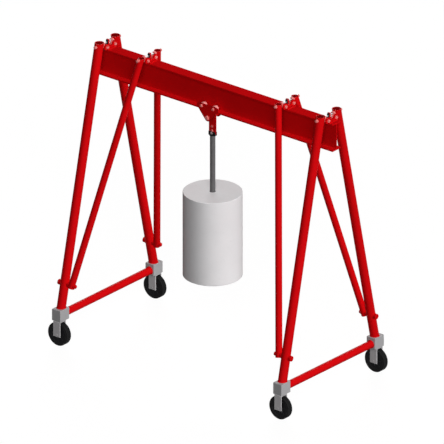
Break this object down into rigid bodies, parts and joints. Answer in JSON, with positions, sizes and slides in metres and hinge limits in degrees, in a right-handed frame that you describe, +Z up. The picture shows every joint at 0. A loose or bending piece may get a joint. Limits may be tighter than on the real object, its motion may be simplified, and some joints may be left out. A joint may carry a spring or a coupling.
{
  "type": "gantry crane",
  "caption": "Portable A-frame gantry crane: I-beam on raking tube legs with knee braces and casters, and a push trolley that carries a hanging round load.",
  "frame": {"origin": "on the floor, under the middle of the beam", "axes": "+X along the beam to the right, +Y across the beam to the rear, +Z up"},
  "size_m": [2.523, 1.312, 2.503],
  "materials": {
    "red_paint": "gloss",
    "dark_red_paint": "gloss",
    "block_paint": "satin",
    "fork_steel": "satin",
    "bolt_steel": "bright",
    "roller_steel": "satin",
    "tyre": "matt",
    "black_steel": "satin",
    "rod_steel": "satin",
    "load_body": "matt"
  },
  "bodies": {
    "frame": {"beam": "red_paint", "leg_left_front": "red_paint", "leg_left_rear": "red_paint", "leg_right_front": "red_paint", "leg_right_rear": "red_paint", "brace_left_front": "red_paint", "brace_left_rear": "red_paint", "brace_right_front": "red_paint", "brace_right_rear": "red_paint", "rail_left": "red_paint", "rail_right": "red_paint", "corner_block_left_front": "block_paint", "corner_block_left_rear": "block_paint", "corner_block_right_front": "block_paint", "corner_block_right_rear": "block_paint", "saddle_left_leg": "red_paint", "saddle_left_brace": "red_paint", "saddle_right_brace": "red_paint", "saddle_right_leg": "red_paint", "spindle_left_leg": "bolt_steel", "spindle_left_brace": "bolt_steel", "spindle_right_brace": "bolt_steel", "spindle_right_leg": "bolt_steel"},
    "caster_left_front": {"fork_left_front": "fork_steel", "axle_left_front": "bolt_steel"},
    "wheel_left_front": {"wheel_left_front": "tyre"},
    "caster_left_rear": {"fork_left_rear": "fork_steel", "axle_left_rear": "bolt_steel"},
    "wheel_left_rear": {"wheel_left_rear": "tyre"},
    "caster_right_front": {"fork_right_front": "fork_steel", "axle_right_front": "bolt_steel"},
    "wheel_right_front": {"wheel_right_front": "tyre"},
    "caster_right_rear": {"fork_right_rear": "fork_steel", "axle_right_rear": "bolt_steel"},
    "wheel_right_rear": {"wheel_right_rear": "tyre"},
    "trolley": {"trolley_plate_front": "red_paint", "trolley_plate_rear": "red_paint", "cross_bolt": "bolt_steel"},
    "roller_left_front": {"roller_left_front": "roller_steel"},
    "roller_left_rear": {"roller_left_rear": "roller_steel"},
    "roller_right_front": {"roller_right_front": "roller_steel"},
    "roller_right_rear": {"roller_right_rear": "roller_steel"},
    "hanger": {"hanger_strap": "dark_red_paint", "shackle": "black_steel", "load_rod": "rod_steel", "load": "load_body"}
  },
  "joints": [
    {"name": "swivel_left_front", "type": "hinge", "parent": "frame", "child": "caster_left_front", "pos_m": [-1.16, -0.611, 0.22], "axis": [0, 0, 1], "continuous": true},
    {"name": "wheel_spin_left_front", "type": "hinge", "parent": "caster_left_front", "child": "wheel_left_front", "pos_m": [-1.16, -0.611, 0.1015], "axis": [0, 1, 0], "continuous": true},
    {"name": "swivel_left_rear", "type": "hinge", "parent": "frame", "child": "caster_left_rear", "pos_m": [-1.16, 0.611, 0.22], "axis": [0, 0, 1], "continuous": true},
    {"name": "wheel_spin_left_rear", "type": "hinge", "parent": "caster_left_rear", "child": "wheel_left_rear", "pos_m": [-1.16, 0.611, 0.1015], "axis": [0, 1, 0], "continuous": true},
    {"name": "swivel_right_front", "type": "hinge", "parent": "frame", "child": "caster_right_front", "pos_m": [1.16, -0.611, 0.22], "axis": [0, 0, 1], "continuous": true},
    {"name": "wheel_spin_right_front", "type": "hinge", "parent": "caster_right_front", "child": "wheel_right_front", "pos_m": [1.16, -0.611, 0.1015], "axis": [0, 1, 0], "continuous": true},
    {"name": "swivel_right_rear", "type": "hinge", "parent": "frame", "child": "caster_right_rear", "pos_m": [1.16, 0.611, 0.22], "axis": [0, 0, 1], "continuous": true},
    {"name": "wheel_spin_right_rear", "type": "hinge", "parent": "caster_right_rear", "child": "wheel_right_rear", "pos_m": [1.16, 0.611, 0.1015], "axis": [0, 1, 0], "continuous": true},
    {"name": "trolley_roll", "type": "slide", "parent": "frame", "child": "trolley", "axis": [1, 0, 0], "range_m": [-1.045, 1.155]},
    {"name": "roller_spin_left_front", "type": "hinge", "parent": "trolley", "child": "roller_left_front", "pos_m": [-0.116, -0.038, 2.2283], "axis": [0, 1, 0], "continuous": true},
    {"name": "roller_spin_left_rear", "type": "hinge", "parent": "trolley", "child": "roller_left_rear", "pos_m": [-0.116, 0.038, 2.2283], "axis": [0, 1, 0], "continuous": true},
    {"name": "roller_spin_right_front", "type": "hinge", "parent": "trolley", "child": "roller_right_front", "pos_m": [0.006, -0.038, 2.2283], "axis": [0, 1, 0], "continuous": true},
    {"name": "roller_spin_right_rear", "type": "hinge", "parent": "trolley", "child": "roller_right_rear", "pos_m": [0.006, 0.038, 2.2283], "axis": [0, 1, 0], "continuous": true},
    {"name": "load_swing", "type": "hinge", "parent": "trolley", "child": "hanger", "pos_m": [-0.055, 0, 2.136], "axis": [0, 1, 0], "range_deg": [-15, 15]}
  ],
  "couplings": [
    {"joint": "roller_spin_left_front", "follows": "trolley_roll", "rad_per_m": 43.478},
    {"joint": "roller_spin_left_rear", "follows": "trolley_roll", "rad_per_m": 43.478},
    {"joint": "roller_spin_right_front", "follows": "trolley_roll", "rad_per_m": 43.478},
    {"joint": "roller_spin_right_rear", "follows": "trolley_roll", "rad_per_m": 43.478}
  ]
}
